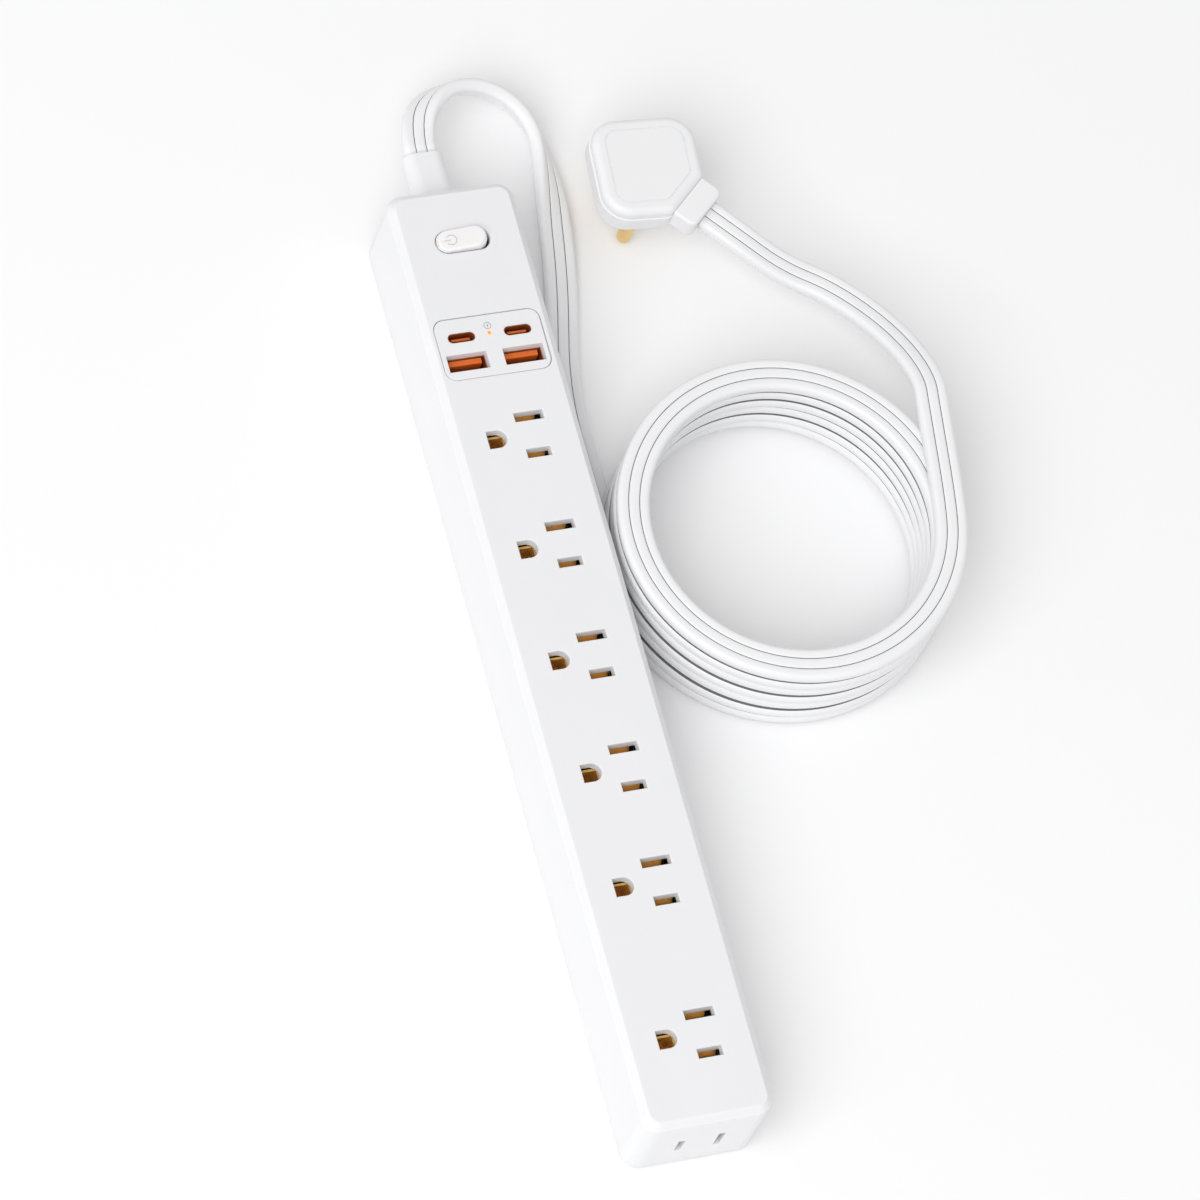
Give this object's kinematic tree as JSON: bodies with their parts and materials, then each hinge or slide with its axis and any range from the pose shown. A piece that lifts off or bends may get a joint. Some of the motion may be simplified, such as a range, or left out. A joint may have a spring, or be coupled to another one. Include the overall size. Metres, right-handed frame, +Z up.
{
  "type": "power strip",
  "caption": "Slim white power strip: outlets along a bevelled bar, rocker switch, USB panel, end outlet, and a flat coiled cord with a flat plug.",
  "frame": {"origin": "centre of the housing's underside", "axes": "+Z up out of the outlets, +Y along the strip to the end that the cord leaves, +X to the right"},
  "size_m": [0.1622, 0.3687, 0.0372],
  "materials": {
    "white_gloss": "glossy white housing plastic",
    "white_matte": "satin white plastic",
    "cord_jacket": "white flexible jacket",
    "brass": "bright stamped brass",
    "steel": "plated steel",
    "nickel": "nickel plate",
    "orange_plastic": "orange port insert",
    "board_green": "circuit board",
    "black_plastic": "moulded black",
    "blue_ceramic": "coated disc",
    "amber_light": "amber diffuser",
    "wire_cover": "wire insulation"
  },
  "bodies": {
    "housing": {"base_tray": "white_gloss", "clamp_screws": "steel", "contact_carrier": "black_plastic", "cord_clamp": "black_plastic", "cord_coil": "cord_jacket", "cord_jacket_end": "cord_jacket", "cord_lead": "cord_jacket", "end_live_contact": "brass", "end_neutral_contact": "brass", "ground_busbar": "brass", "ground_contacts": "brass", "ground_wire": "wire_cover", "housing_screws": "steel", "indicator_led": "amber_light", "indicator_light_pipe": "amber_light", "line_wire": "wire_cover", "live_busbar": "brass", "live_contacts": "brass", "load_wire": "wire_cover", "neutral_busbar": "brass", "neutral_contacts": "brass", "neutral_wire": "wire_cover", "plug_body": "white_matte", "plug_cap": "white_matte", "plug_core": "black_plastic", "plug_ground_pin": "brass", "plug_lead": "cord_jacket", "plug_live_blade": "brass", "plug_neutral_blade": "brass", "plug_sleeve": "white_matte", "rocker_pin": "steel", "strain_relief": "white_matte", "surge_board": "board_green", "surge_link_pins": "brass", "switch_frame": "black_plastic", "switch_line_terminal": "brass", "switch_load_terminal": "brass", "thermal_fuse": "black_plastic", "top_cover": "white_gloss", "usb_a_shell_left": "nickel", "usb_a_shell_right": "nickel", "usb_a_tongue_left": "orange_plastic", "usb_a_tongue_right": "orange_plastic", "usb_board": "board_green", "usb_c_shell_left": "nickel", "usb_c_shell_right": "nickel", "usb_c_tongue_left": "orange_plastic", "usb_c_tongue_right": "orange_plastic", "usb_capacitors": "black_plastic", "usb_inductor": "black_plastic", "usb_panel": "white_gloss", "usb_transformer": "black_plastic", "varistors": "blue_ceramic"},
    "rocker": {"switch_rocker": "white_matte", "switch_plunger": "black_plastic", "switch_spring": "steel"},
    "lever": {"switch_lever": "brass"}
  },
  "joints": [
    {"name": "switch_rocker", "type": "hinge", "parent": "housing", "child": "rocker", "pos_m": [0, 0.14055, 0.0302], "axis": [0, 1, 0], "range_deg": [0, 14]},
    {"name": "switch_lever", "type": "hinge", "parent": "housing", "child": "lever", "pos_m": [0, 0.14055, 0.0211], "axis": [0, 1, 0], "range_deg": [-14, 0]}
  ],
  "couplings": [
    {"joint": "switch_lever", "follows": "switch_rocker", "ratio": -1}
  ]
}
